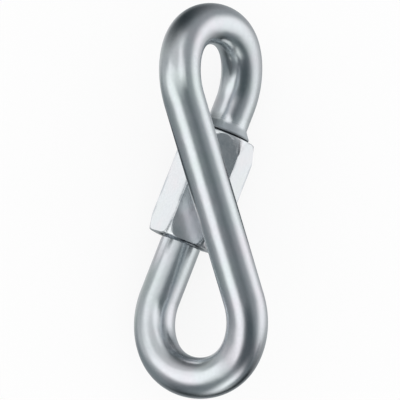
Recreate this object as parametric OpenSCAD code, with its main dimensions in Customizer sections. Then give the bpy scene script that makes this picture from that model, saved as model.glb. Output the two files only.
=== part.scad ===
// Twisted quick link: one round bar bent and twisted into a closed loop,
// with a hexagonal sleeve nut that screws along the rear leg and shuts the gate.
// It lies on the lowest flat of its nut, with its long axis along Y.

/* [Bar and loop] */
// Diameter of the round bar, which is also the thread's outer diameter
bar_d = 10; // [6:0.5:12]
// Overall length, over the outside of both bows
link_length = 95.8; // [90:0.1:120]
// Length of the straight part of each leg
leg_straight = 50; // [46:0.5:54]
// Distance between the axes of the two legs where they cross
leg_spacing = 24; // [20:0.5:28]
// Lean of each leg from the long axis; the legs lean opposite ways
leg_lean = 19.2; // [14:0.1:24]
// Heading of each bow at its top, counted from the plane of the lean
bow_heading = 35.7; // [25:0.1:50]

/* [Gate] */
// Clear gap between the two bar ends once the nut is screwed back
gate_gap = 10.5; // [8:0.25:12]
// Length of the short thread that the closed nut grips above the gap
stub_grip = 3; // [2:0.25:4.5]
// Height of the shoulder's face above the middle of the leg
shoulder_height = 18.1; // [16:0.1:20]
// How far the shoulder stands out beyond the bar
shoulder_step = 1.3; // [0.6:0.1:2]
// Length of the shoulder's full-width rim
shoulder_rim = 0.7; // [0.6:0.1:1.5]
// Length over which the shoulder narrows back to the bar
shoulder_flare = 1.5; // [1.3:0.1:3]
// Bevel on the ends of the threads
thread_bevel = 0.8; // [0.3:0.1:1.2]

/* [Sleeve nut] */
// Length of the nut
nut_length = 28; // [27.5:0.5:34]
// Wall of the nut, from its thread to the middle of a flat
nut_wall = 3; // [2:0.1:5]
// Gap between the closed nut and the shoulder
shoulder_gap = 0.5; // [0.2:0.1:1]
// Depth that the bevel at the shoulder end cuts into the corners
nose_bevel = 1.3; // [0.8:0.1:2]
// Length of the bevel at the shoulder end
nose_bevel_length = 4.6; // [2:0.1:6]
// Depth that the bevel at the free end cuts into the corners
tail_bevel = 0.7; // [0.5:0.1:2]
// Length of the bevel at the free end
tail_bevel_length = 4; // [2:0.1:6]
// Length of the plain counterbore at the free end, which clears the bar
relief_length = 13.5; // [10:0.5:14]
// Radial room of the counterbore round the bar
relief_room = 0.5; // [0.2:0.1:0.8]
// Bevel at both mouths of the bore
mouth_bevel = 0.6; // [0.2:0.1:0.8]
// Radial clearance between the threads, which lets the nut run
thread_clearance = 0.05; // [0.02:0.01:0.1]

/* [Rest] */
// Turn of the nut's front flat from facing straight away from the rear leg
nut_turn = 5; // [0:0.5:10]

/* [Hidden] */
ring_steps = 48;
sweep_steps = 144;
hex_sides = 6;
lap_length = 0.3;
full_skin = 0.04;

bar_r = bar_d / 2;
zinc_bright = [0.78, 0.80, 0.83];
zinc_nut = [0.70, 0.72, 0.75];

// Gate and nut, as heights above the middle of the rear leg
stub_length = stub_grip + shoulder_gap;
upper_end = shoulder_height - stub_length;
lower_end = upper_end - gate_gap;
nut_top = shoulder_height - shoulder_gap;
nut_bottom = nut_top - nut_length;
shoulder_r = bar_r + shoulder_step;
flare_r = (pow(shoulder_step, 2) + pow(shoulder_flare, 2)) / (2 * shoulder_step);
shoulder_length = shoulder_rim + shoulder_flare;

nut_bore_r = bar_r + thread_clearance;
nut_flat_r = bar_r + nut_wall;
nut_corner_r = nut_flat_r / cos(180 / hex_sides);
relief_r = bar_r + relief_room;

// Bow: two arcs from the rear leg's upper end to the top of the loop
leg_end = leg_straight / 2;
leg_dir = [sin(leg_lean), 0, cos(leg_lean)];
leg_side = [cos(leg_lean), 0, -sin(leg_lean)];
leg_back = [0, 1, 0];
bow_start = leg_end * leg_dir + [0, leg_spacing / 2, 0];
bow_top = [0, 0, link_length / 2 - bar_r];
top_dir = [-cos(bow_heading), -sin(bow_heading), 0];

function unit(v) = v / norm(v);
function half_turn(start, heading, finish) = acos(unit(finish - start) * heading);
function arc_radius(start, heading, finish) =
    norm(finish - start) / 2 / sin(half_turn(start, heading, finish));
// Direction from the start of an arc to its centre
function inward(start, heading, finish) =
    unit(finish - start - ((finish - start) * heading) * heading);
// The same direction at the end of the arc
function inward_after(start, heading, finish) =
    let (turn = 2 * half_turn(start, heading, finish))
    inward(start, heading, finish) * cos(turn) - heading * sin(turn);
function roll_between(from, to, about) = atan2(cross(from, to) * about, from * to);

// The two arcs meet where both reach equally far from their own ends
bow_span = bow_top - bow_start;
bow_bias = leg_dir + top_dir;
bow_open = 2 * (1 - leg_dir * top_dir);
bow_reach = (sqrt(pow(bow_span * bow_bias, 2) + bow_open * (bow_span * bow_span))
    - bow_span * bow_bias) / bow_open;
bow_mid = (bow_start + bow_top + bow_reach * (leg_dir - top_dir)) / 2;
mid_dir = unit(bow_span - bow_reach * bow_bias);

heel_radius = arc_radius(bow_start, leg_dir, bow_mid);
heel_turn = 2 * half_turn(bow_start, leg_dir, bow_mid);
heel_in = inward(bow_start, leg_dir, bow_mid);
toe_radius = arc_radius(bow_mid, mid_dir, bow_top);
toe_turn = 2 * half_turn(bow_mid, mid_dir, bow_top);
toe_in = inward(bow_mid, mid_dir, bow_top);
toe_out = inward_after(bow_mid, mid_dir, bow_top);

// Rolls of the bar between its bends, which give the link its twist
first_roll = atan2(heel_in * leg_back, heel_in * leg_side);
mid_roll = roll_between(inward_after(bow_start, leg_dir, bow_mid), toe_in, mid_dir);
top_roll = roll_between(toe_out, [-toe_out.x, -toe_out.y, toe_out.z], top_dir);
leg_roll = roll_between([-heel_in.x, -heel_in.y, heel_in.z],
    [heel_in.x, -heel_in.y, -heel_in.z], [leg_dir.x, 0, -leg_dir.z]);

// Turn in plan that brings the loop's long axis onto Y
plan_turn = atan(tan(leg_lean) * cos(nut_turn));

// A straight length of bar; what follows it starts at its far end
module straight(length, skin = 0) {
    cylinder(r = bar_r + skin, h = length, $fn = ring_steps);
    translate([0, 0, length]) children();
}

// A roll about the bar's axis and then a bend towards X; what follows starts at its far end.
// The arc laps a little over both its neighbours, whose skin is a hair fuller or leaner than
// its own, so that two skins never coincide and all the lengths merge into one solid.
module bend(roll, radius, turn, skin) {
    lap_turn = atan(lap_length / radius);
    rotate([0, 0, roll]) translate([radius, 0, 0]) {
        rotate([90, 0, 180]) rotate([0, 0, -lap_turn])
            rotate_extrude(angle = turn + 2 * lap_turn, $fn = sweep_steps)
                translate([radius, 0]) circle(r = bar_r + skin, $fn = ring_steps);
        rotate([0, turn, 0]) translate([-radius, 0, 0]) children();
    }
}

module bow(roll, skins) {
    bend(roll, heel_radius, heel_turn, skins[0])
        bend(mid_roll, toe_radius, toe_turn, skins[1])
            bend(top_roll, toe_radius, toe_turn, skins[0])
                bend(mid_roll, heel_radius, heel_turn, skins[1])
                    children();
}

// A bar end with a bevelled tip at its base
module thread_tip() {
    cylinder(r1 = bar_r - thread_bevel, r2 = bar_r, h = thread_bevel, $fn = ring_steps);
}

// Threaded stub with the shoulder that the closed nut comes up to
module shoulder_end() {
    thread_tip();
    translate([0, 0, thread_bevel])
        cylinder(r = bar_r, h = stub_length - thread_bevel, $fn = ring_steps);
    translate([0, 0, stub_length]) rotate_extrude($fn = ring_steps) difference() {
        square([shoulder_r, shoulder_length]);
        translate([bar_r + flare_r, shoulder_length]) circle(r = flare_r, $fn = sweep_steps);
    }
}

// The whole bar, followed from its shoulder end over one bow, down the plain leg,
// over the other bow and back up to the end that carries the nut
module bent_bar() {
    translate([0, 0, upper_end]) shoulder_end();
    translate([0, 0, shoulder_height + shoulder_length])
        straight(leg_end - shoulder_height - shoulder_length)
            bow(first_roll, [full_skin, 0])
                straight(leg_straight, full_skin)
                    bow(leg_roll, [0, full_skin])
                        straight(leg_end + lower_end - thread_bevel)
                            translate([0, 0, thread_bevel]) mirror([0, 0, 1]) thread_tip();
}

// Lays the rear leg, which stands on Z, down on the nut's rear flat,
// with the point on the floor below the middle of the loop as the origin
module laid_down() {
    rotate([0, 0, -plan_turn])
        translate([-leg_spacing / 2 * sin(nut_turn), 0, nut_flat_r])
            rotate([-90, 0, 0]) rotate([0, 0, nut_turn]) children();
}

module link_body() {
    color(zinc_bright) laid_down() bent_bar();
}

module hexagon_blank() {
    intersection() {
        cylinder(r = nut_corner_r, h = nut_length, $fn = hex_sides);
        rotate_extrude($fn = ring_steps) polygon([
            [0, 0],
            [nut_corner_r - tail_bevel, 0],
            [nut_corner_r, tail_bevel_length],
            [nut_corner_r, nut_length - nose_bevel_length],
            [nut_corner_r - nose_bevel, nut_length],
            [0, nut_length]
        ]);
    }
}

// Bore with its thread's length, its plain counterbore and a bevel at each mouth
module nut_bore() {
    rotate_extrude($fn = ring_steps) polygon([
        [0, 0],
        [relief_r + mouth_bevel, 0],
        [relief_r, mouth_bevel],
        [relief_r, relief_length],
        [nut_bore_r, relief_length + relief_r - nut_bore_r],
        [nut_bore_r, nut_length - mouth_bevel],
        [nut_bore_r + mouth_bevel, nut_length],
        [0, nut_length]
    ]);
}

module sleeve_nut() {
    color(zinc_nut) laid_down() rotate([0, 0, -nut_turn]) translate([0, 0, nut_bottom])
        difference() {
            hexagon_blank();
            nut_bore();
        }
}

link_body();
sleeve_nut();
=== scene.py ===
import math

import bmesh
import bpy
from bpy.props import FloatProperty, FloatVectorProperty, PointerProperty
from bpy.types import Operator, Panel, PropertyGroup
from mathutils import Matrix, Vector


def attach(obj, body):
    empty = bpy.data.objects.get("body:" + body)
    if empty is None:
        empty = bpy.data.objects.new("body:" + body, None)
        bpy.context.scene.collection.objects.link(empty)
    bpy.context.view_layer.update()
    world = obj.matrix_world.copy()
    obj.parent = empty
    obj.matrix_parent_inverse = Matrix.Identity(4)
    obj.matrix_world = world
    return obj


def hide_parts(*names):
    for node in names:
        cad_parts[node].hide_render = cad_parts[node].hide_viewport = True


bl_info = {
    "name": "Twisted quick link",
    "version": (1, 0, 0),
    "blender": (4, 5, 0),
    "location": "3D View > Sidebar > Quick link",
    "description": "A zinc-plated twisted quick link with its sleeve nut, on a plain studio floor",
    "category": "Object",
}

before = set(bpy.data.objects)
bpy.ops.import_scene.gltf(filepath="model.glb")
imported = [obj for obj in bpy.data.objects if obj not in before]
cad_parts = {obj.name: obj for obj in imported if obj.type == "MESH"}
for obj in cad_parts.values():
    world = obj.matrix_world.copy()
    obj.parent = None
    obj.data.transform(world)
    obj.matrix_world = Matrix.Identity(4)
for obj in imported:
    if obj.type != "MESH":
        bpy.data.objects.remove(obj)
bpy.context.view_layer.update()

MM = 0.001
# Facets round the bar, and the most that the bar turns from one ring to the next
RING_FACETS = 72
RING_TURN = math.radians(2.5)
# Facets round a thread, whose turns are finer than the bar's
THREAD_FACETS = 48
# A metric thread: the lean of its flanks, and its depth as a share of the pitch
THREAD_FLANK = math.radians(30)
THREAD_DEPTH = 0.5413
# Sides of the nut's hexagon, and the angle from the middle of a flat to a corner
HEX_SIDES = 6
CORNER_ANGLE = math.pi / HEX_SIDES
# Vertices closer than this are one
SAME_PLACE = 2e-6
# A cut passes through a vertex that lies this near to it
CUT_PRECISION = 1e-9
# Edges between faces that meet at more than this stay sharp
SHARP_ANGLE = math.radians(30)


def linear(hex_colour):
    """The linear colour of an sRGB hex value such as "c8ccd0"."""
    parts = [int(hex_colour[i:i + 2], 16) / 255 for i in (0, 2, 4)]
    return [p / 12.92 if p <= 0.04045 else ((p + 0.055) / 1.055) ** 2.4 for p in parts]


class LinkSizes(PropertyGroup):
    """Sizes of the bent bar."""

    bar_diameter: FloatProperty(
        name="Bar diameter", description="Diameter of the round bar and of its thread",
        default=10 * MM, min=6 * MM, max=12 * MM, unit="LENGTH")
    length: FloatProperty(
        name="Length", description="Overall length, over the outside of both bows",
        default=95.8 * MM, min=90 * MM, max=120 * MM, unit="LENGTH")
    leg_straight: FloatProperty(
        name="Straight leg", description="Length of the straight part of each leg",
        default=50 * MM, min=46 * MM, max=54 * MM, unit="LENGTH")
    leg_spacing: FloatProperty(
        name="Leg spacing", description="Distance between the legs' axes where they cross",
        default=24 * MM, min=20 * MM, max=28 * MM, unit="LENGTH")
    leg_lean: FloatProperty(
        name="Leg lean", description="Lean of each leg from the long axis",
        default=math.radians(19.2), subtype="ANGLE")
    bow_heading: FloatProperty(
        name="Bow heading", description="Heading of each bow at its top",
        default=math.radians(35.7), subtype="ANGLE")
    shoulder_height: FloatProperty(
        name="Shoulder height", description="Height of the shoulder's face above the leg's middle",
        default=18.1 * MM, unit="LENGTH")
    shoulder_step: FloatProperty(
        name="Shoulder step", description="How far the shoulder stands out beyond the bar",
        default=1.3 * MM, unit="LENGTH")
    shoulder_rim: FloatProperty(
        name="Shoulder rim", description="Length of the shoulder's full-width rim",
        default=0.7 * MM, unit="LENGTH")
    shoulder_flare: FloatProperty(
        name="Shoulder flare", description="Length over which the shoulder narrows to the bar",
        default=1.5 * MM, unit="LENGTH")
    gate_gap: FloatProperty(
        name="Gate gap", description="Clear gap between the bar ends once the nut is screwed back",
        default=10.5 * MM, unit="LENGTH")
    stub_grip: FloatProperty(
        name="Stub grip", description="Length of the short thread that the closed nut grips",
        default=3 * MM, unit="LENGTH")
    thread_pitch: FloatProperty(
        name="Thread pitch", description="Advance of the thread in one turn",
        default=1.5 * MM, unit="LENGTH")


class NutSizes(PropertyGroup):
    """Sizes of the sleeve nut."""

    length: FloatProperty(
        name="Length", description="Length of the nut",
        default=28 * MM, min=27.5 * MM, max=34 * MM, unit="LENGTH")
    wall: FloatProperty(
        name="Wall", description="Wall from the thread to the middle of a flat",
        default=3 * MM, unit="LENGTH")
    shoulder_gap: FloatProperty(
        name="Shoulder gap", description="Gap between the closed nut and the shoulder",
        default=0.5 * MM, unit="LENGTH")
    nose_bevel: FloatProperty(
        name="Nose bevel", description="Depth of the bevel at the shoulder end, at the corners",
        default=1.3 * MM, unit="LENGTH")
    nose_bevel_length: FloatProperty(
        name="Nose bevel length", description="Length of the bevel at the shoulder end",
        default=4.6 * MM, unit="LENGTH")
    tail_bevel: FloatProperty(
        name="Tail bevel", description="Depth of the bevel at the free end, at the corners",
        default=0.7 * MM, unit="LENGTH")
    tail_bevel_length: FloatProperty(
        name="Tail bevel length", description="Length of the bevel at the free end",
        default=4 * MM, unit="LENGTH")
    relief_length: FloatProperty(
        name="Counterbore length", description="Length of the plain counterbore at the free end",
        default=13.5 * MM, unit="LENGTH")
    relief_room: FloatProperty(
        name="Counterbore room", description="Radial room of the counterbore round the bar",
        default=0.5 * MM, unit="LENGTH")
    mouth_bevel: FloatProperty(
        name="Mouth bevel", description="Bevel at both mouths of the bore",
        default=0.6 * MM, unit="LENGTH")
    thread_clearance: FloatProperty(
        name="Thread clearance", description="Radial clearance between the threads",
        default=0.05 * MM, unit="LENGTH")
    corner_radius: FloatProperty(
        name="Corner radius", description="Rounding of the hexagon's six long corners",
        default=0.4 * MM, unit="LENGTH")
    turn: FloatProperty(
        name="Turn", description="Turn of the nut's front flat from facing straight ahead",
        default=math.radians(5), subtype="ANGLE")


class LinkFinish(PropertyGroup):
    """Colours of the plating."""

    bar_colour: FloatVectorProperty(
        name="Bar plating", description="Colour of the bar's zinc plating",
        default=linear("e2e7eb"), subtype="COLOR", min=0, max=1)
    nut_colour: FloatVectorProperty(
        name="Nut plating", description="Colour of the nut's zinc plating",
        default=linear("ecf0f3"), subtype="COLOR", min=0, max=1)
    floor_colour: FloatVectorProperty(
        name="Floor", description="Colour of the studio floor",
        default=linear("fefefe"), subtype="COLOR", min=0, max=1)


def sizes():
    return bpy.context.scene.link_sizes


def nut_sizes():
    return bpy.context.scene.nut_sizes


def finish_colours():
    return bpy.context.scene.link_finish


def plan_turn():
    """Turn in plan that brings the loop's long axis onto Y."""
    return math.atan(math.tan(sizes().leg_lean) * math.cos(nut_sizes().turn))


# The rear leg's own frame has its middle as the origin and Z up the leg
def loop_from_leg():
    """From the rear leg's frame to the loop's, whose Z is the long axis."""
    s = sizes()
    return Matrix.Translation((0, s.leg_spacing / 2, 0)) @ Matrix.Rotation(s.leg_lean, 4, "Y")


def row_from_leg():
    """From the rear leg's frame to the frame that the whole model lies in."""
    s, n = sizes(), nut_sizes()
    return (Matrix.Rotation(-plan_turn(), 4, "Z")
            @ Matrix.Translation((-s.leg_spacing / 2 * math.sin(n.turn), 0, nut_flat_radius()))
            @ Matrix.Rotation(-math.pi / 2, 4, "X") @ Matrix.Rotation(n.turn, 4, "Z"))


def nut_flat_radius():
    return sizes().bar_diameter / 2 + nut_sizes().wall


def nut_corner_radius():
    return nut_flat_radius() / math.cos(CORNER_ANGLE)


def thread_depth():
    """Depth of the thread's flanks, from crest to root."""
    return THREAD_DEPTH * sizes().thread_pitch


def shoulder_top():
    """Height in the leg's frame at which the shoulder has narrowed to the bar."""
    s = sizes()
    return s.shoulder_height + s.shoulder_rim + s.shoulder_flare


def upper_end():
    s = sizes()
    return s.shoulder_height - s.stub_grip - nut_sizes().shoulder_gap


def lower_end():
    return upper_end() - sizes().gate_gap


def nut_top():
    return sizes().shoulder_height - nut_sizes().shoulder_gap


def nut_bottom():
    return nut_top() - nut_sizes().length


def arc(start, heading, finish):
    """The centre, axis, turn and radius of the arc that leaves start along heading and reaches
    finish."""
    chord = finish - start
    half = chord.angle(heading)
    inward = (chord - chord.dot(heading) * heading).normalized()
    radius = chord.length / 2 / math.sin(half)
    return start + radius * inward, heading.cross(inward), 2 * half, radius


def bow_arcs():
    """The four arcs of the upper bow in the loop's frame, from the rear leg over the top to the
    plain leg."""
    s = sizes()
    lean, heading = s.leg_lean, s.bow_heading
    up = Vector((math.sin(lean), 0, math.cos(lean)))
    start = s.leg_straight / 2 * up + Vector((0, s.leg_spacing / 2, 0))
    top = Vector((0, 0, s.length / 2 - s.bar_diameter / 2))
    over = Vector((-math.cos(heading), -math.sin(heading), 0))
    span, bias, opening = top - start, up + over, 2 * (1 - up.dot(over))
    across = span.dot(bias)
    reach = (math.sqrt(across ** 2 + opening * span.length_squared) - across) / opening
    mid = (start + top + reach * (up - over)) / 2
    mid_heading = (span - reach * bias).normalized()
    half_round = Matrix.Rotation(math.pi, 3, "Z")
    arcs = [arc(start, up, mid), arc(mid, mid_heading, top)]
    arcs += [arc(top, over, half_round @ mid),
             arc(half_round @ mid, -(half_round @ mid_heading), half_round @ start)]
    return arcs


def turned(arcs):
    """The same arcs for the lower bow, which is the upper one turned half round the X axis."""
    flip = Matrix.Rotation(math.pi, 3, "X")
    return [(flip @ centre, flip @ axis, turn, radius) for centre, axis, turn, radius in arcs]


def once_each(elements):
    """Each element once, in the order they first come in, so that every run gives one mesh."""
    return list(dict.fromkeys(elements))


def outward(bm):
    """Merges doubles and turns every face outwards."""
    bmesh.ops.remove_doubles(bm, verts=bm.verts, dist=SAME_PLACE)
    bmesh.ops.recalc_face_normals(bm, faces=bm.faces)


def carry(bm, ring, move, travel, unbent):
    """Extrudes a ring of edges and moves the new ring, whose unbent place grows by travel."""
    made = bmesh.ops.extrude_edge_only(bm, edges=ring)["geom"]
    verts = [g for g in made if isinstance(g, bmesh.types.BMVert)]
    bmesh.ops.transform(bm, matrix=move, verts=verts)
    for v in verts:
        v[unbent] = v[unbent] + Vector((0, 0, travel))
    moved = set(verts)
    return [g for g in made if isinstance(g, bmesh.types.BMEdge) and moved.issuperset(g.verts)]


def carry_straight(bm, ring, direction, length, unbent, rings):
    """Carries a ring along a straight length, with this many new rings on the way."""
    step = length / rings
    for _ in range(rings):
        ring = carry(bm, ring, Matrix.Translation(direction * step), step, unbent)
    return ring


def carry_round(bm, ring, arcs, unbent):
    """Carries a ring round arcs, with a new ring after each small turn."""
    for centre, axis, turn, radius in arcs:
        steps = math.ceil(turn / RING_TURN)
        move = (Matrix.Translation(centre) @ Matrix.Rotation(turn / steps, 4, axis)
                @ Matrix.Translation(-centre))
        for _ in range(steps):
            ring = carry(bm, ring, move, radius * turn / steps, unbent)
    return ring


def carry_profile(bm, ring, leg, height, radius, points, unbent):
    """Carries a ring along the leg through (height, radius) points, as on a lathe."""
    for new_height, new_radius in points:
        grow = new_radius / radius
        step = (leg @ Matrix.Translation((0, 0, new_height)) @ Matrix.Diagonal((grow, grow, 1, 1))
                @ Matrix.Translation((0, 0, -height)) @ leg.inverted())
        ring = carry(bm, ring, step, new_height - height, unbent)
        height, radius = new_height, new_radius
    return ring


def threaded_rod(bm, foot, top, crest, root, tip=None, tip_radius=None):
    """A helical thread between two heights of the leg's frame, open at both ends. Every thread is
    cut from the same helix, so the nut's fits the bar's. A tip is coned down to tip_radius."""
    pitch = sizes().thread_pitch
    flank = (crest - root) * math.tan(THREAD_FLANK)
    crest_flat = pitch / 8
    root_flat = pitch - 2 * flank - crest_flat
    start = (math.floor(foot / pitch) - 1) * pitch
    turns = math.ceil((top - start) / pitch) + 1
    outline = [(root, 0), (root, root_flat), (crest, root_flat + flank),
               (crest, root_flat + flank + crest_flat), (root, pitch)]
    before = set(bm.verts)
    points = [bm.verts.new((r, 0, start + z)) for r, z in outline]
    lines = [bm.edges.new(pair) for pair in zip(points, points[1:])]
    bmesh.ops.spin(
        bm, geom=points + lines, cent=(0, 0, 0), axis=(0, 0, 1),
        dvec=(0, 0, pitch / THREAD_FACETS), angle=2 * math.pi * turns,
        steps=THREAD_FACETS * turns, use_merge=False, use_duplicate=False)
    bmesh.ops.remove_doubles(
        bm, verts=[v for v in bm.verts if v not in before], dist=SAME_PLACE)
    for height, side in ((foot, -1), (top, 1)):
        verts = [v for v in bm.verts if v not in before]
        edges = once_each(e for v in verts for e in v.link_edges)
        faces = once_each(f for v in verts for f in v.link_faces)
        bmesh.ops.bisect_plane(
            bm, geom=verts + edges + faces, dist=CUT_PRECISION, plane_co=(0, 0, height),
            plane_no=(0, 0, side), clear_outer=True)
    rod = [v for v in bm.verts if v not in before]
    for v in rod:
        across = math.hypot(v.co.x, v.co.y)
        if tip is not None and across > tip_radius + abs(v.co.z - tip):
            shrink = (tip_radius + abs(v.co.z - tip)) / across
            v.co.x, v.co.y = v.co.x * shrink, v.co.y * shrink
    return rod


def open_ring(verts, height):
    """The open edges that lie at one height among these vertices."""
    edges = once_each(e for v in verts for e in v.link_edges if e.is_boundary)
    return [e for e in edges if all(abs(v.co.z - height) < SAME_PLACE for v in e.verts)]


def bar_mesh():
    s = sizes()
    bar_r = s.bar_diameter / 2
    root = bar_r - thread_depth()
    leg = loop_from_leg()
    bm = bmesh.new()
    unbent = bm.verts.layers.float_vector.new("unbent")

    # Both threads, cut on the upright leg, with a neck under the shoulder and a short run-out
    neck = 0.55 * MM
    runout = 0.3 * MM
    tip_radius = root - 0.1 * MM
    stub_top = s.shoulder_height - neck
    stub = threaded_rod(bm, upper_end(), stub_top, bar_r, root, upper_end(), tip_radius)
    stub_ring = open_ring(stub, stub_top)
    bmesh.ops.edgeloop_fill(bm, edges=open_ring(stub, upper_end()))
    long_foot = nut_bottom()
    long = threaded_rod(bm, long_foot, lower_end(), bar_r, root, lower_end(), tip_radius)
    long_ring = open_ring(long, long_foot)
    bmesh.ops.edgeloop_fill(bm, edges=open_ring(long, lower_end()))
    for v in stub + long:
        v[unbent] = v.co
    bmesh.ops.transform(bm, matrix=leg, verts=bm.verts)

    # The shoulder, turned from a ring at the neck of the stub
    neck_height = stub_top + 0.12 * MM
    made = bmesh.ops.create_circle(
        bm, cap_ends=False, segments=RING_FACETS, radius=root,
        matrix=leg @ Matrix.Translation((0, 0, neck_height)))["verts"]
    for v in made:
        v[unbent] = leg.inverted() @ v.co
    neck_ring = once_each(e for v in made for e in v.link_edges)
    rim_r = bar_r + s.shoulder_step
    soft = 0.1 * MM
    face = s.shoulder_height
    rim = face + s.shoulder_rim / 2
    flare_top = shoulder_top()
    profile = [(face - soft, root), (face, root + soft), (face, rim_r - soft),
               (face + soft, rim_r), (rim, rim_r)]
    # A power of 1 would make the flare a straight cone
    flare_steps, flare_power = 10, 1.1
    for i in range(1, flare_steps + 1):
        along = i / flare_steps
        profile.append((rim + (flare_top - rim) * along,
                        bar_r + s.shoulder_step * (1 - along) ** flare_power))
    ring = carry_profile(bm, neck_ring, leg, neck_height, root, profile, unbent)
    bmesh.ops.bridge_loops(bm, edges=stub_ring + neck_ring)

    # Round the whole loop and back up to the long thread
    up = (leg.to_3x3() @ Vector((0, 0, 1))).normalized()
    down = Vector((up.x, up.y, -up.z))
    upper = bow_arcs()
    straight = s.leg_straight / 2
    ring = carry_straight(bm, ring, up, straight - flare_top, unbent, rings=2)
    ring = carry_round(bm, ring, upper, unbent)
    ring = carry_straight(bm, ring, down, s.leg_straight, unbent, rings=40)
    ring = carry_round(bm, ring, turned(upper), unbent)
    shank_end = long_foot - 2 * runout
    ring = carry_straight(bm, ring, up, straight + shank_end, unbent, rings=6)
    ring = carry_profile(bm, ring, leg, shank_end, bar_r, [(long_foot - runout, root)], unbent)
    bmesh.ops.bridge_loops(bm, edges=long_ring + ring)

    outward(bm)
    bmesh.ops.transform(bm, matrix=row_from_leg() @ leg.inverted(), verts=bm.verts)
    mesh = bpy.data.meshes.new("link_bar")
    bm.to_mesh(mesh)
    bm.free()
    return mesh


def shade_smooth(mesh):
    """Smooth shading that keeps sharp edges sharp."""
    mesh.polygons.foreach_set("use_smooth", [True] * len(mesh.polygons))
    mesh.set_sharp_from_angle(angle=SHARP_ANGLE)


def add_object(name, mesh):
    obj = bpy.data.objects.new(name, mesh)
    bpy.context.scene.collection.objects.link(obj)
    return obj


def combined(mesh, cutter, operation):
    """The part of a mesh that lies outside a cutter mesh or inside it."""
    base = add_object("base", mesh)
    tool = add_object("tool", cutter)
    boolean = base.modifiers.new("cut", "BOOLEAN")
    boolean.operation = operation
    boolean.solver = "EXACT"
    boolean.object = tool
    depsgraph = bpy.context.evaluated_depsgraph_get()
    depsgraph.update()
    result = bpy.data.meshes.new_from_object(base.evaluated_get(depsgraph))
    for obj in (base, tool):
        bpy.data.objects.remove(obj)
    if not result.polygons:
        raise RuntimeError("Nothing is left of the nut after a cut: " + operation)
    # A cut leaves edges of no length and faces of no area along its seam
    bm = bmesh.new()
    bm.from_mesh(result)
    bmesh.ops.dissolve_degenerate(bm, edges=bm.edges, dist=SAME_PLACE)
    bm.to_mesh(result)
    bm.free()
    return result


def lathe_mesh(points):
    """A solid turned about Z from (radius, height) points whose ends lie on the axis."""
    bm = bmesh.new()
    verts = [bm.verts.new((r, 0, z)) for r, z in points]
    edges = [bm.edges.new(pair) for pair in zip(verts, verts[1:])]
    bmesh.ops.spin(
        bm, geom=verts + edges, cent=(0, 0, 0), axis=(0, 0, 1), dvec=(0, 0, 0),
        angle=2 * math.pi, steps=2 * RING_FACETS, use_merge=True, use_duplicate=False)
    outward(bm)
    mesh = bpy.data.meshes.new("turned")
    bm.to_mesh(mesh)
    bm.free()
    return mesh


def hexagon_mesh(flat_radius, low, high, corner):
    """A hexagonal prism with rounded long corners."""
    bm = bmesh.new()
    face = bmesh.ops.create_circle(
        bm, cap_ends=True, segments=HEX_SIDES, radius=flat_radius / math.cos(CORNER_ANGLE),
        matrix=Matrix.Translation((0, 0, low)) @ Matrix.Rotation(CORNER_ANGLE, 4, "Z"))
    faces = once_each(f for v in face["verts"] for f in v.link_faces)
    made = bmesh.ops.extrude_face_region(bm, geom=faces)["geom"]
    bmesh.ops.translate(
        bm, vec=(0, 0, high - low), verts=[g for g in made if isinstance(g, bmesh.types.BMVert)])
    long_edges = [e for e in bm.edges if abs(e.verts[0].co.z - e.verts[1].co.z) > SAME_PLACE]
    bmesh.ops.bevel(
        bm, geom=long_edges, offset=corner * math.tan(CORNER_ANGLE), offset_type="OFFSET",
        affect="EDGES", segments=6, profile=0.5, material=-1)
    outward(bm)
    mesh = bpy.data.meshes.new("hexagon")
    bm.to_mesh(mesh)
    bm.free()
    return mesh


def nut_mesh():
    """The sleeve nut, made standing on the leg's frame, then laid down with it."""
    n = nut_sizes()
    bar_r = sizes().bar_diameter / 2
    low, high = nut_bottom(), nut_top()
    corner = nut_corner_radius()
    beyond = 2 * MM
    # Length over which both ends round into their bevels
    soft = 0.35 * MM
    nose, tail = corner - n.nose_bevel, corner - n.tail_bevel
    blank = lathe_mesh([
        (0, low), (tail - soft, low), (tail - 0.3 * soft, low + 0.3 * soft),
        (tail + 0.05 * soft, low + soft), (corner, low + n.tail_bevel_length),
        (corner, high - n.nose_bevel_length), (nose + 0.1 * soft, high - 0.5 * soft),
        (nose - 0.15 * soft, high - 0.15 * soft), (nose - 0.5 * soft, high), (0, high)])
    body = combined(
        hexagon_mesh(nut_flat_radius(), low - beyond, high + beyond, n.corner_radius), blank,
        "INTERSECT")

    crest = bar_r + n.thread_clearance
    root = bar_r - thread_depth() + n.thread_clearance
    relief = bar_r + n.relief_room
    shelf = low + n.relief_length
    # The hole is drilled a little narrower than the thread's roots, which the tap opens
    drilled = root - 0.05 * MM
    bore = lathe_mesh([
        (0, low - beyond), (relief + n.mouth_bevel + beyond, low - beyond),
        (relief, low + n.mouth_bevel), (relief, shelf), (drilled, shelf + relief - root),
        (drilled, high - n.mouth_bevel - crest + root),
        (crest + n.mouth_bevel + beyond, high + beyond), (0, high + beyond)])
    body = combined(body, bore, "DIFFERENCE")

    bm = bmesh.new()
    rod = threaded_rod(bm, shelf - beyond, high + beyond, crest, root)
    for height in (shelf - beyond, high + beyond):
        bmesh.ops.edgeloop_fill(bm, edges=open_ring(rod, height))
    outward(bm)
    bmesh.ops.rotate(bm, cent=(0, 0, 0), matrix=Matrix.Rotation(n.turn, 3, "Z"), verts=bm.verts)
    tap = bpy.data.meshes.new("tap")
    bm.to_mesh(tap)
    bm.free()
    body = combined(body, tap, "DIFFERENCE")
    body.transform(row_from_leg() @ Matrix.Rotation(-n.turn, 4, "Z"))
    body.name = "hexagon_nut"
    return body


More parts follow.
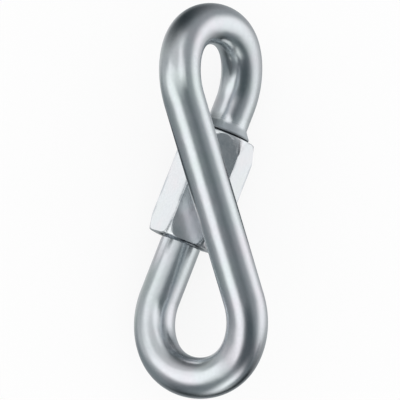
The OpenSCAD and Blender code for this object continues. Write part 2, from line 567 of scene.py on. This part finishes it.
def add_node(tree, kind, settings=None, **inputs):
    """Adds a node, sets its properties, and gives its inputs, by name or by number, a value or a
    link from a socket or from the first output that another node has in use."""
    node = tree.nodes.new(kind)
    for name, value in (settings or {}).items():
        setattr(node, name, value)
    for name, value in inputs.items():
        socket = node.inputs[int(name[1:]) if name[0] == "_" else name.replace("_", " ")]
        if isinstance(value, bpy.types.Node):
            value = next(output for output in value.outputs if output.enabled)
        if isinstance(value, bpy.types.NodeSocket):
            tree.links.new(value, socket)
        else:
            socket.default_value = value
    return node


def new_material(name):
    material = bpy.data.materials.new(name)
    material.use_nodes = True
    material.node_tree.nodes.clear()
    return material, material.node_tree


# How softly each piece mirrors, how grey the metal goes where it turns away from the eye, and what
# the forged shoulder and the turned bevels add to the roughness
BAR_FINISH = 0.23, 1.00, 0.25
NUT_FINISH = 0.2, 0.9, 0.05
# What the rest of the surface adds to the roughness: from patch to patch, along the drawing lines
# and where it is rubbed
PATCH_ROUGHNESS = -0.045, 0.005
LINE_ROUGHNESS = 0.05
RUBBED_ROUGHNESS = 0.14
# Sizes of the patterns. Real zinc crystals are finer than 0.05 mm and real drawing lines about
# 0.03 mm wide, and both are drawn coarser here, so that they show. The turning marks really lie
# about 0.15 mm apart. The orange peel and the ripples, which bending rolls leave, have true sizes.
BLOOM_SIZE = 9 * MM
GRAIN_SIZE = 0.5 * MM
LINE_WIDTH = 0.25 * MM
LINE_STRETCH = 60
PATCH_SIZE = 4 * MM
PEEL_SIZE = 2 * MM
RIPPLE_SPACING = 6 * MM
TURNING_SPACING = 0.5 * MM
# Depths that the relief patterns have from lowest to highest
PEEL_DEPTH = 0.03 * MM
LINE_DEPTH = 0.002 * MM
RING_DEPTH = 0.004 * MM
# Faint blooms of the passivate on each piece, its grain, its rubbed edges and its painted shade
BAR_BLOOMS = "dfe8e8", "e6e4ea"
NUT_BLOOMS = "ecf0f0", "f0eef1"
GRAIN_COLOUR = "9aa3a9"
RUBBED_COLOUR = "b4bbc1"
PAINTED_SHADE_COLOUR = "3e4347"


def mottle(tree, place, size, stretch=1.0, detail=2.0):
    """A cloudy pattern with features of one size, drawn out along the bar or the nut."""
    grain = add_node(tree, "ShaderNodeVectorMath", {"operation": "MULTIPLY"},
                     _0=place, _1=(1 / size, 1 / size, 1 / (size * stretch)))
    return add_node(tree, "ShaderNodeTexNoise", Vector=grain, Scale=1.0, Detail=detail,
                    Roughness=0.5)


def unbent_place(tree):
    """The place on the bar before it was bent, in its own frame, Z along it."""
    return add_node(tree, "ShaderNodeAttribute", {"attribute_name": "unbent"}).outputs["Vector"]


def leg_place(tree):
    """Object coordinates turned into the rear leg's frame, whose Z runs up the leg."""
    to_leg = row_from_leg().inverted()
    place = add_node(tree, "ShaderNodeTexCoord").outputs["Object"]
    return add_node(tree, "ShaderNodeMapping", {"vector_type": "POINT"}, Vector=place,
                    Location=to_leg.translation, Rotation=to_leg.to_euler())


def leg_radius(tree, place):
    """How far a place in the rear leg's frame is from the leg's axis."""
    flat = add_node(tree, "ShaderNodeVectorMath", {"operation": "MULTIPLY"},
                    _0=place, _1=(1, 1, 0))
    return add_node(tree, "ShaderNodeVectorMath", {"operation": "LENGTH"}, _0=flat)


def zinc_plating(name, colours, place, rubbed, matt, painted_shade, rings, finish):
    """Bright electroplated zinc with a clear passivate. The eye gets a soft mirror of the room that
    wavers a little, faint green and pink blooms, drawing lines, duller metal where it is rubbed,
    and dark painted shade in its recesses. Colours are the plating's and its two blooms'. Place,
    rubbed, matt, painted_shade and rings are functions that give the pattern's place, the rubbed
    and matt shares, the share of painted shade and the height of the rings from a tree. Finish
    holds the roughness, how grey the edges go and what is added to the roughness where the
    surface is matt."""
    material, tree = new_material(name)
    roughness, edge_grey, matt_roughness = finish
    colour, green, pink = ((*c, 1) for c in colours)
    where = place(tree)

    bloom = mottle(tree, where, BLOOM_SIZE)
    grain = mottle(tree, where, GRAIN_SIZE, detail=3.0)
    lines = mottle(tree, where, LINE_WIDTH, LINE_STRETCH)
    patches = mottle(tree, where, PATCH_SIZE)
    peel = mottle(tree, where, PEEL_SIZE, stretch=2, detail=1.0)
    greenish = add_node(tree, "ShaderNodeMapRange", Value=bloom, From_Min=0.5, From_Max=0.7,
                        To_Max=0.9)
    pinkish = add_node(tree, "ShaderNodeMapRange", Value=bloom, From_Min=0.5, From_Max=0.3,
                       To_Max=0.9)
    grainy = add_node(tree, "ShaderNodeMapRange", Value=grain, From_Min=0.3, From_Max=0.7,
                      To_Min=0.1, To_Max=0.0)
    rubbed_share = rubbed(tree, patches)
    # Last over the plating comes the painted shade, a dark grey in the threads, the bore and the
    # gaps
    for share, over in ((greenish, green), (pinkish, pink), (grainy, (*linear(GRAIN_COLOUR), 1)),
                        (rubbed_share, (*linear(RUBBED_COLOUR), 1)),
                        (painted_shade(tree, patches), (*linear(PAINTED_SHADE_COLOUR), 1))):
        colour = add_node(tree, "ShaderNodeMix", {"data_type": "RGBA"},
                          _0=share, _6=colour, _7=over)

    dull = add_node(tree, "ShaderNodeMapRange", Value=patches, From_Min=0.3, From_Max=0.7,
                    To_Min=roughness + PATCH_ROUGHNESS[0], To_Max=roughness + PATCH_ROUGHNESS[1])
    for share, added in ((lines, LINE_ROUGHNESS), (rubbed_share, RUBBED_ROUGHNESS),
                         (matt(tree), matt_roughness)):
        dull = add_node(tree, "ShaderNodeMath", {"operation": "MULTIPLY_ADD"},
                        _0=share, _1=added, _2=dull)

    relief = add_node(tree, "ShaderNodeBump", Strength=1.0, Distance=PEEL_DEPTH, Height=peel)
    relief = add_node(tree, "ShaderNodeBump", Strength=1.0, Distance=LINE_DEPTH, Height=lines,
                      Normal=relief)
    relief = add_node(tree, "ShaderNodeBump", Strength=1.0, Distance=RING_DEPTH,
                      Height=rings(tree), Normal=relief)
    shader = add_node(tree, "ShaderNodeBsdfPrincipled", Base_Color=colour, Metallic=1.0,
                      Roughness=dull, Specular_Tint=(edge_grey, edge_grey, edge_grey, 1),
                      Normal=relief)
    add_node(tree, "ShaderNodeOutputMaterial", Surface=shader)
    return material


def rubbed_rim(tree, patches):
    """The shoulder's rim is rubbed where the nut and the pocket meet it."""
    s = sizes()
    rim = s.bar_diameter / 2 + s.shoulder_step
    top = shoulder_top()
    out = leg_radius(tree, leg_place(tree))
    along = add_node(tree, "ShaderNodeSeparateXYZ", Vector=unbent_place(tree)).outputs["Z"]
    worn = add_node(tree, "ShaderNodeMapRange", Value=out, From_Min=rim - 0.25 * MM, From_Max=rim)
    within = add_node(tree, "ShaderNodeMapRange", Value=out, From_Min=rim + 0.1 * MM,
                      From_Max=rim + 0.2 * MM, To_Min=1.0, To_Max=0.0)
    below = add_node(tree, "ShaderNodeMapRange", Value=along, From_Min=top,
                     From_Max=top + 0.1 * MM, To_Min=1.0, To_Max=0.0)
    patchy = add_node(tree, "ShaderNodeMapRange", Value=patches, From_Min=0.35, From_Max=0.6,
                      To_Min=0.2, To_Max=0.8)
    for share in (within, below, patchy):
        worn = add_node(tree, "ShaderNodeMath", {"operation": "MULTIPLY"}, _0=worn, _1=share)
    return worn


def forged_shoulder(tree):
    """The shoulder was upset in a die, so its flare is duller than the drawn bar."""
    face, top = sizes().shoulder_height, shoulder_top()
    along = add_node(tree, "ShaderNodeSeparateXYZ", Vector=unbent_place(tree)).outputs["Z"]
    above = add_node(tree, "ShaderNodeMapRange", Value=along, From_Min=face - 0.2 * MM,
                     From_Max=face)
    below = add_node(tree, "ShaderNodeMapRange", Value=along, From_Min=top - 0.3 * MM,
                     From_Max=top + 0.5 * MM, To_Min=1.0, To_Max=0.0)
    return add_node(tree, "ShaderNodeMath", {"operation": "MULTIPLY"}, _0=above, _1=below)


def thread_painted_shade(tree, patches):
    """Painted shade: dark grey in the thread roots, and on the neck and the rim's lower edge under
    the shoulder.
    """
    s = sizes()
    face, bar_r, depth = s.shoulder_height, s.bar_diameter / 2, thread_depth()
    place = leg_place(tree)
    out = leg_radius(tree, place)
    height = add_node(tree, "ShaderNodeSeparateXYZ", Vector=place).outputs["Z"]
    along = add_node(tree, "ShaderNodeSeparateXYZ", Vector=unbent_place(tree)).outputs["Z"]
    roots = add_node(tree, "ShaderNodeMapRange", Value=out, From_Min=bar_r - 0.75 * depth,
                     From_Max=bar_r - 0.2 * depth, To_Min=0.6, To_Max=0.0)
    # Painted shade of the gap under the shoulder, on the neck and the lower edge of the rim
    neck = add_node(tree, "ShaderNodeMapRange", Value=out,
                    From_Min=bar_r + 1.1 * s.shoulder_step,
                    From_Max=bar_r + 1.2 * s.shoulder_step, To_Min=0.65, To_Max=0.0)
    above = add_node(tree, "ShaderNodeMapRange", Value=height, From_Min=face - 0.7 * MM,
                     From_Max=face - 0.5 * MM)
    below = add_node(tree, "ShaderNodeMapRange", Value=height, From_Min=face + 0.3 * MM,
                     From_Max=face + 0.5 * MM, To_Min=1.0, To_Max=0.0)
    for share in (above, below):
        neck = add_node(tree, "ShaderNodeMath", {"operation": "MULTIPLY"}, _0=neck, _1=share)
    both = add_node(tree, "ShaderNodeMath", {"operation": "MAXIMUM"}, _0=roots, _1=neck)
    # The rest of the loop passes near the leg's line too, and gets no painted shade
    gate = add_node(tree, "ShaderNodeMapRange", Value=along, From_Min=face,
                    From_Max=face + 0.5 * MM, To_Min=1.0, To_Max=0.0)
    return add_node(tree, "ShaderNodeMath", {"operation": "MULTIPLY"}, _0=both, _1=gate)


def bend_ripples(tree):
    """Faint ripples across the bar, as the bending rolls leave them."""
    along = add_node(tree, "ShaderNodeSeparateXYZ", Vector=unbent_place(tree)).outputs["Z"]
    phase = add_node(tree, "ShaderNodeMath", {"operation": "MULTIPLY"}, _0=along,
                     _1=2 * math.pi / RIPPLE_SPACING)
    return add_node(tree, "ShaderNodeMath", {"operation": "SINE"}, _0=phase)


def rubbed_corners(tree, patches):
    """The nut's six long corners are rubbed where the spanner and the pocket meet them."""
    corner = nut_corner_radius()
    edge = add_node(tree, "ShaderNodeMapRange", Value=leg_radius(tree, leg_place(tree)),
                    From_Min=corner - 0.5 * MM, From_Max=corner - 0.1 * MM)
    patchy = add_node(tree, "ShaderNodeMapRange", Value=patches, From_Min=0.4, From_Max=0.6,
                      To_Min=0.1, To_Max=0.8)
    return add_node(tree, "ShaderNodeMath", {"operation": "MULTIPLY"}, _0=edge, _1=patchy)


def bore_painted_shade(tree, patches):
    """Painted shade: a patchy dark grey in the nut's thread and its mouths."""
    bar_r = sizes().bar_diameter / 2
    inside = add_node(tree, "ShaderNodeMapRange", Value=leg_radius(tree, leg_place(tree)),
                      From_Min=bar_r + 0.6 * MM, From_Max=bar_r + 1.6 * MM, To_Min=1.0, To_Max=0.0)
    patchy = add_node(tree, "ShaderNodeMapRange", Value=patches, From_Min=0.3, From_Max=0.7,
                      To_Min=0.5, To_Max=0.8)
    return add_node(tree, "ShaderNodeMath", {"operation": "MULTIPLY"}, _0=patchy, _1=inside)


def turned_bevels(tree):
    """1 on both bevels, which were turned on a lathe, and 0 on the drawn flats."""
    n = nut_sizes()
    corner, low, high = nut_corner_radius(), nut_bottom(), nut_top()
    place = leg_place(tree)
    height = add_node(tree, "ShaderNodeSeparateXYZ", Vector=place).outputs["Z"]
    tail = add_node(tree, "ShaderNodeMapRange", Value=height, From_Min=low,
                    From_Max=low + n.tail_bevel_length, To_Min=corner - n.tail_bevel,
                    To_Max=corner)
    nose = add_node(tree, "ShaderNodeMapRange", Value=height, From_Min=high,
                    From_Max=high - n.nose_bevel_length, To_Min=corner - n.nose_bevel,
                    To_Max=corner)
    cone = add_node(tree, "ShaderNodeMath", {"operation": "MINIMUM"}, _0=tail, _1=nose)
    inside = add_node(tree, "ShaderNodeMath", {"operation": "SUBTRACT"},
                      _0=cone, _1=leg_radius(tree, place))
    return add_node(tree, "ShaderNodeMapRange", Value=inside, From_Min=0.02 * MM,
                    From_Max=0.05 * MM, To_Min=1.0, To_Max=0.0)


def turned_rings(tree):
    """Rings that the lathe left on both bevels."""
    height = add_node(tree, "ShaderNodeSeparateXYZ", Vector=leg_place(tree)).outputs["Z"]
    phase = add_node(tree, "ShaderNodeMath", {"operation": "MULTIPLY"}, _0=height,
                     _1=2 * math.pi / TURNING_SPACING)
    wave = add_node(tree, "ShaderNodeMath", {"operation": "SINE"}, _0=phase)
    return add_node(tree, "ShaderNodeMath", {"operation": "MULTIPLY"},
                    _0=wave, _1=turned_bevels(tree))


class LINK_OT_bar(Operator):
    """Bends the bar, with its shoulder and both its threads"""

    bl_idname = "link.bar"
    bl_label = "Bent bar"

    def execute(self, context):
        bar = add_object("link_bar", bar_mesh())
        shade_smooth(bar.data)
        bar.data.materials.append(
            zinc_plating("bright zinc plating on drawn bar",
                         (finish_colours().bar_colour, *map(linear, BAR_BLOOMS)),
                         unbent_place, rubbed_rim, forged_shoulder, thread_painted_shade, bend_ripples,
                         BAR_FINISH))
        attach(bar, "link")
        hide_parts("link_body")
        return {"FINISHED"}


class LINK_OT_nut(Operator):
    """Makes the hexagonal sleeve nut with its bevelled ends and its threaded bore"""

    bl_idname = "link.nut"
    bl_label = "Sleeve nut"

    def execute(self, context):
        nut = add_object("hexagon_nut", nut_mesh())
        shade_smooth(nut.data)
        nut.data.materials.append(
            zinc_plating("bright zinc plating on hexagon bar",
                         (finish_colours().nut_colour, *map(linear, NUT_BLOOMS)),
                         leg_place, rubbed_corners, turned_bevels, bore_painted_shade, turned_rings,
                         NUT_FINISH))
        flats = nut.modifiers.new("flat faces", "WEIGHTED_NORMAL")
        flats.weight = 100
        flats.keep_sharp = True
        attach(nut, "nut")
        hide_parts("sleeve_nut")
        return {"FINISHED"}


class LINK_OT_studio(Operator):
    """Lays the pale floor, lights it softly and places the camera"""

    bl_idname = "link.studio"
    bl_label = "Studio"

    def execute(self, context):
        add_floor()
        add_lights()
        add_camera()
        return {"FINISHED"}


# Half the side of the floor, in metres
FLOOR_REACH = 20
# Seen straight or mirrored, this share of the floor's white is its own, so shadows stay faint
FLOOR_OWN_WHITE = 0.85


def add_floor():
    bm = bmesh.new()
    bmesh.ops.create_grid(bm, x_segments=1, y_segments=1, size=FLOOR_REACH)
    mesh = bpy.data.meshes.new("studio_floor")
    bm.to_mesh(mesh)
    bm.free()
    floor = add_object("studio_floor", mesh)
    material, tree = new_material("matt studio floor")
    matt = add_node(tree, "ShaderNodeBsdfDiffuse", Color=(*finish_colours().floor_colour, 1))
    white = add_node(tree, "ShaderNodeEmission", Color=(*finish_colours().floor_colour, 1))
    path = add_node(tree, "ShaderNodeLightPath")
    seen = path.outputs["Is Camera Ray"]
    for ray in ("Is Glossy Ray", "Is Transmission Ray"):
        seen = add_node(tree, "ShaderNodeMath", {"operation": "MAXIMUM"},
                        _0=seen, _1=path.outputs[ray])
    share = add_node(tree, "ShaderNodeMath", {"operation": "MULTIPLY"},
                     _0=seen, _1=FLOOR_OWN_WHITE)
    mix = add_node(tree, "ShaderNodeMixShader", _0=share, _1=matt, _2=white)
    add_node(tree, "ShaderNodeOutputMaterial", Surface=mix)
    mesh.materials.append(material)
    floor.visible_glossy = False


# Soft boxes that only the metal shows, each over the ones before it: where the middle of each
# stands, in degrees right of and above the camera as the link sees it, how wide and high it
# looks, its lean, its brightness, and the share of its half width and height that fades out
SOFT_BOXES = {
    "left_box": ((-48, -10), (57, 94), 48, 1.16, (0.68, 0.52)),
    "upper_box": ((-16, 41), (87, 91), 3, 1.05, (0.11, 1.00)),
    "right_box": ((95, 15), (73, 116), -13, 1.11, (0.97, 0.99)),
    "lower_box": ((5, -86), (52, 74), 7, 1.26, (0.98, 0.98)),
    "dark_screen": ((13, -35), (79, 81), 16, 0.09, (0.79, 0.54)),
    "upper_right_screen": ((59, 71), (115, 61), 38, 0.34, (0.51, 0.99)),
    "upper_left_box": ((-64, 78), (138, 61), -38, 0.63, (0.13, 0.45)),
    "top_screen": ((-29, 107), (112, 103), 21, 0.04, (1.00, 0.86)),
    "lower_left_screen": ((-111, -43), (54, 71), -13, 0.24, (0.23, 1.00)),
    "lower_right_screen": ((54, -84), (69, 22), 34, 0.19, (0.40, 0.95)),
    "small_box": ((5, 24), (31, 22), -15, 1.15, (0.64, 0.52)),
    "small_screen": ((18, 11), (58, 27), 3, 0.12, (0.98, 0.70)),
}
# Greys of the tent by compass in turns, at the horizon and 40 degrees below it
HORIZON_STOPS = ((0, 0.54), (0.13, 0.14), (0.25, 0.31), (0.37, 0.10), (0.5, 0.82),
                 (0.62, 0.42), (0.75, 0.23), (0.87, 0.29), (1.0, 0.54))
LOW_STOPS = ((0, 0.69), (0.13, 0.02), (0.25, 0.02), (0.37, 0.02), (0.5, 0.60),
             (0.62, 0.50), (0.75, 0.39), (0.87, 0.11), (1.0, 0.69))
ZENITH_BRIGHTNESS = 0.31
NADIR_BRIGHTNESS = 0.38
# Heights between which one grey gives way to the next: up to the zenith, down to the low ramp and
# down to the nadir, as shares of the tent's radius
HEIGHT_BLENDS = ((0.15, 0.7), (-0.1, -0.5), (-0.6, -0.95))
TENT_RADIUS = 2.0
# How cool black would be: the share of red that it loses and of blue that it gains, and the power
# by which both fall away towards white
COOL_RED, COOL_BLUE, COOL_POWER = 0.26, 0.13, 3.3
# A soft box covers only directions whose cosine to its middle is at least this
LEAST_AHEAD = 0.05
# Cards beside the nut that only the metal shows, in mm from the middle of its leg on the floor,
# with Y up the leg: a corner, both sides, the stretch of the leg over which the card fades in, and
# its grey. The white ones whiten the nut's side faces; the dark ones keep that white off the bar.
NUT_CARDS = {
    "left_bounce": ((-11.3, -20, 5.1), (0, 31.5, 0), (-7, 0, 6.4), (-20, -11), 1.0),
    "right_bounce": ((11.3, -6, 5.1), (0, 26.5, 0), (5.5, 0, 5), (-6, 0), 1.0),
    "left_flag": ((-8.5, -14, 17.2), (0, 30.5, 0), (-12.5, 0, 0), (-14, -10), 0.06),
    "right_flag": ((6.5, -14, 17.2), (0, 34.5, 0), (14.5, 0, 0), (-14, -10), 0.06),
    "left_upper_door": ((-9.8, 12, 0.2), (-12, 0, 0), (0, 0, 17), None, 0.06),
    "right_lower_door": ((9.8, -2, 0.2), (12, 0, 0), (0, 0, 17), None, 0.06),
}


def add_lights():
    world = bpy.data.worlds.new("white room")
    bpy.context.scene.world = world
    world.use_nodes = True
    world.node_tree.nodes["Background"].inputs["Color"].default_value = (1, 1, 1, 1)
    world.node_tree.nodes["Background"].inputs["Strength"].default_value = 1.0
    # The metal shows the tent with its soft boxes, and not the even white that lights the floor
    world.cycles_visibility.glossy = False
    add_tent()
    for name, card in NUT_CARDS.items():
        add_nut_card(name, *card)


def only_reflected(obj):
    """Keeps the tent or a card out of the picture and off the floor, so only the metal shows it."""
    obj.visible_camera = False
    obj.visible_diffuse = False
    obj.visible_transmission = False
    obj.visible_volume_scatter = False
    obj.visible_shadow = False


def cool(grey):
    """A grey of the studio, which turns cooler the darker it is."""
    shade = (1 - min(grey, 1)) ** COOL_POWER
    return grey * (1 - COOL_RED * shade), grey, grey * (1 + COOL_BLUE * shade), 1


def camera_turn():
    return Matrix.Rotation(math.radians(CAMERA_TURN.length), 4, CAMERA_TURN)


def soft_box(tree, towards, place, size, lean, edge):
    """A share that is 1 in the directions that a soft box covers and fades to 0 at its edges."""
    away = math.radians(math.hypot(*place))
    round_camera = math.atan2(place[1], place[0])
    turn = (camera_turn() @ Matrix.Rotation(round_camera, 4, "Z") @ Matrix.Rotation(away, 4, "Y")
            @ Matrix.Rotation(-round_camera + math.radians(lean), 4, "Z"))
    ahead = add_node(tree, "ShaderNodeVectorMath", {"operation": "DOT_PRODUCT"},
                     _0=towards, _1=turn.col[2].xyz)
    cover = add_node(tree, "ShaderNodeMath", {"operation": "GREATER_THAN"},
                     _0=ahead, _1=LEAST_AHEAD)
    for axis, width, soft in zip(turn.col, size, edge):
        half = math.tan(math.radians(width / 2))
        across = add_node(tree, "ShaderNodeVectorMath", {"operation": "DOT_PRODUCT"},
                          _0=towards, _1=axis.xyz)
        slope = add_node(tree, "ShaderNodeMath", {"operation": "DIVIDE"}, _0=across, _1=ahead)
        slope = add_node(tree, "ShaderNodeMath", {"operation": "ABSOLUTE"}, _0=slope)
        inside = add_node(
            tree, "ShaderNodeMapRange", {"interpolation_type": "SMOOTHSTEP"}, Value=slope,
            From_Min=(1 - soft) * half, From_Max=half, To_Min=1.0, To_Max=0.0)
        cover = add_node(tree, "ShaderNodeMath", {"operation": "MULTIPLY"}, _0=cover, _1=inside)
    return cover


def add_tent():
    """A round tent about the link: grey, with soft boxes on its wall."""
    material, tree = new_material("grey tent with soft boxes")
    place = add_node(tree, "ShaderNodeTexCoord").outputs["Object"]
    towards = add_node(tree, "ShaderNodeVectorMath", {"operation": "NORMALIZE"}, _0=place)
    parts = add_node(tree, "ShaderNodeSeparateXYZ", Vector=towards)
    bearing = add_node(tree, "ShaderNodeMath", {"operation": "ARCTAN2"},
                       _0=parts.outputs["Y"], _1=parts.outputs["X"])
    compass = add_node(tree, "ShaderNodeMapRange", Value=bearing,
                       From_Min=-math.pi, From_Max=math.pi)
    ramps = []
    for stops in (HORIZON_STOPS, LOW_STOPS):
        ramp = add_node(tree, "ShaderNodeValToRGB", Fac=compass)
        while len(ramp.color_ramp.elements) < len(stops):
            ramp.color_ramp.elements.new(0.5)
        for stop, (where, grey) in zip(ramp.color_ramp.elements, stops):
            stop.position = where
            stop.color = cool(grey)
        ramps.append(ramp)
    heights = [add_node(tree, "ShaderNodeMapRange", Value=parts.outputs["Z"], From_Min=start,
                        From_Max=end) for start, end in HEIGHT_BLENDS]
    layers = list(zip(heights, (cool(ZENITH_BRIGHTNESS), ramps[1], cool(NADIR_BRIGHTNESS))))
    layers += [(soft_box(tree, towards, where, size, lean, edge), cool(brightness))
               for where, size, lean, brightness, edge in SOFT_BOXES.values()]
    look = ramps[0]
    for share, over in layers:
        look = add_node(tree, "ShaderNodeMix", {"data_type": "RGBA"}, _0=share, _6=look, _7=over)
    glow = add_node(tree, "ShaderNodeEmission", Color=look, Strength=1.0)
    add_node(tree, "ShaderNodeOutputMaterial", Surface=glow)

    bm = bmesh.new()
    bmesh.ops.create_icosphere(bm, subdivisions=4, radius=TENT_RADIUS)
    mesh = bpy.data.meshes.new("tent")
    bm.to_mesh(mesh)
    bm.free()
    mesh.materials.append(material)
    only_reflected(add_object("tent", mesh))


def add_nut_card(name, corner, side, other_side, fade, grey):
    """A glowing card beside the nut, with the places and sizes in mm."""
    leg_middle = row_from_leg().translation
    bm = bmesh.new()
    corners = [bm.verts.new(corner), bm.verts.new(Vector(corner) + Vector(side))]
    made = bmesh.ops.extrude_edge_only(bm, edges=[bm.edges.new(corners)])["geom"]
    bmesh.ops.translate(
        bm, vec=other_side, verts=[g for g in made if isinstance(g, bmesh.types.BMVert)])
    bmesh.ops.transform(
        bm, verts=bm.verts, matrix=Matrix.Translation((leg_middle.x, leg_middle.y, 0))
        @ Matrix.Rotation(-plan_turn(), 4, "Z") @ Matrix.Scale(MM, 4))
    mesh = bpy.data.meshes.new(name)
    bm.to_mesh(mesh)
    bm.free()
    material, tree = new_material("plain " + name)
    surface = add_node(tree, "ShaderNodeEmission", Color=cool(grey), Strength=1.0)
    if fade:
        height = add_node(tree, "ShaderNodeSeparateXYZ", Vector=leg_place(tree)).outputs["Z"]
        share = add_node(tree, "ShaderNodeMapRange", Value=height, From_Min=fade[0] * MM,
                         From_Max=fade[1] * MM)
        clear = add_node(tree, "ShaderNodeBsdfTransparent")
        surface = add_node(tree, "ShaderNodeMixShader", _0=share, _1=clear, _2=surface)
    add_node(tree, "ShaderNodeOutputMaterial", Surface=surface)
    mesh.materials.append(material)
    only_reflected(add_object(name, mesh))


# The camera's turn from looking straight down, as an axis as long as the turn in degrees
CAMERA_TURN = Vector((3.079, -5.033, 2.355))
CAMERA_DISTANCE = 1540 * MM
PIXELS_PER_MM = 4.136
IMAGE_PIXELS = 400
SENSOR_MM = 36
# Where the middle of the loop shows in the image, right of and above the middle
LOOP_RIGHT_PIXELS = 5.652
LOOP_UP_PIXELS = -0.823


def add_camera():
    data = bpy.data.cameras.new("camera")
    data.sensor_width = SENSOR_MM
    data.lens = PIXELS_PER_MM * (CAMERA_DISTANCE / MM) * SENSOR_MM / IMAGE_PIXELS
    data.clip_start, data.clip_end = 0.1, 60
    camera = bpy.data.objects.new("camera", data)
    bpy.context.scene.collection.objects.link(camera)
    turn = camera_turn()
    loop_middle = (row_from_leg() @ loop_from_leg().inverted()).translation
    from_middle = Vector((-LOOP_RIGHT_PIXELS / PIXELS_PER_MM * MM,
                          -LOOP_UP_PIXELS / PIXELS_PER_MM * MM, CAMERA_DISTANCE))
    camera.matrix_world = Matrix.Translation(loop_middle) @ turn @ Matrix.Translation(from_middle)
    bpy.context.scene.camera = camera


class LINK_PT_panel(Panel):
    bl_label = "Twisted quick link"
    bl_idname = "LINK_PT_panel"
    bl_space_type = "VIEW_3D"
    bl_region_type = "UI"
    bl_category = "Quick link"

    def draw(self, context):
        layout = self.layout
        for operator in (LINK_OT_bar, LINK_OT_nut, LINK_OT_studio):
            layout.operator(operator.bl_idname)


CLASSES = (LinkSizes, NutSizes, LinkFinish, LINK_OT_bar, LINK_OT_nut, LINK_OT_studio,
           LINK_PT_panel)


def register():
    for cls in CLASSES:
        bpy.utils.register_class(cls)
    bpy.types.Scene.link_sizes = PointerProperty(type=LinkSizes)
    bpy.types.Scene.nut_sizes = PointerProperty(type=NutSizes)
    bpy.types.Scene.link_finish = PointerProperty(type=LinkFinish)


def unregister():
    del bpy.types.Scene.link_finish
    del bpy.types.Scene.nut_sizes
    del bpy.types.Scene.link_sizes
    for cls in reversed(CLASSES):
        bpy.utils.unregister_class(cls)


def main():
    register()
    bpy.ops.link.bar()
    bpy.ops.link.nut()
    bpy.ops.link.studio()
    bpy.context.scene.view_settings.view_transform = "Standard"


if __name__ == "__main__":
    main()
